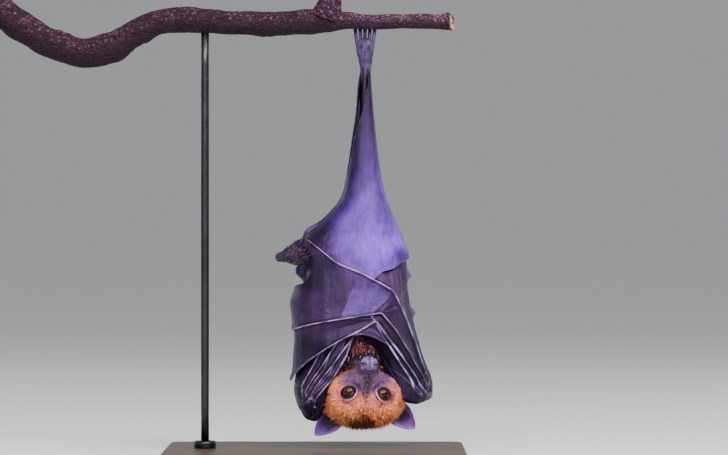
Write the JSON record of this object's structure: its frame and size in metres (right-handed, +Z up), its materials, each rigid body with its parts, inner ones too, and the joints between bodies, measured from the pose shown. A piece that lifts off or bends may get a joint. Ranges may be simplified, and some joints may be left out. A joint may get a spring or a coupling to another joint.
{
  "type": "fruit bat",
  "caption": "Hanging fruit bat with folded wings, gripping a cut branch by one foot, its orange face hanging down, held over a flat base by a rod",
  "frame": {"origin": "the middle of the stand base's underside, at floor level", "axes": "+Z is up; the bat's belly and face look along -Y; X runs along the branch, with +X at its thin cut end"},
  "size_m": [0.486, 0.1894, 0.4752],
  "materials": {
    "eye": "wet and glossy",
    "fur_orange": "short dense fur",
    "fur_dark": "short dense fur",
    "wing_skin": "thin, satin, finely wrinkled",
    "bare_skin": "satin",
    "bark": "rough bark",
    "stand_wood": "dark, satin",
    "stand_metal": "satin black"
  },
  "bodies": {
    "root": {"ear_left": "bare_skin", "ear_right": "bare_skin", "eye_left": "eye", "eye_right": "eye", "foot_left": "bare_skin", "foot_right": "bare_skin", "head": "fur_orange", "neck": "fur_orange", "perch_branch": "bark", "shank_left": "bare_skin", "shank_right": "bare_skin", "stand_base": "stand_wood", "stand_collar": "stand_metal", "stand_rod": "stand_metal", "thigh_left": "fur_dark", "thigh_right": "fur_dark", "trunk": "fur_dark", "wing_left_arm_web": "wing_skin", "wing_left_finger_2": "bare_skin", "wing_left_finger_3": "bare_skin", "wing_left_finger_4": "bare_skin", "wing_left_finger_5": "bare_skin", "wing_left_forearm": "bare_skin", "wing_left_membrane_3_2": "wing_skin", "wing_left_membrane_4_3": "wing_skin", "wing_left_membrane_5_4": "wing_skin", "wing_left_plagiopatagium": "wing_skin", "wing_left_propatagium": "wing_skin", "wing_left_thumb": "bare_skin", "wing_left_upper_arm": "fur_dark", "wing_left_wrist": "bare_skin", "wing_right_arm_web": "wing_skin", "wing_right_finger_2": "bare_skin", "wing_right_finger_3": "bare_skin", "wing_right_finger_4": "bare_skin", "wing_right_finger_5": "bare_skin", "wing_right_forearm": "bare_skin", "wing_right_membrane_3_2": "wing_skin", "wing_right_membrane_4_3": "wing_skin", "wing_right_membrane_5_4": "wing_skin", "wing_right_plagiopatagium": "wing_skin", "wing_right_propatagium": "wing_skin", "wing_right_thumb": "bare_skin", "wing_right_upper_arm": "fur_dark", "wing_right_wrist": "bare_skin"}
  },
  "joints": []
}
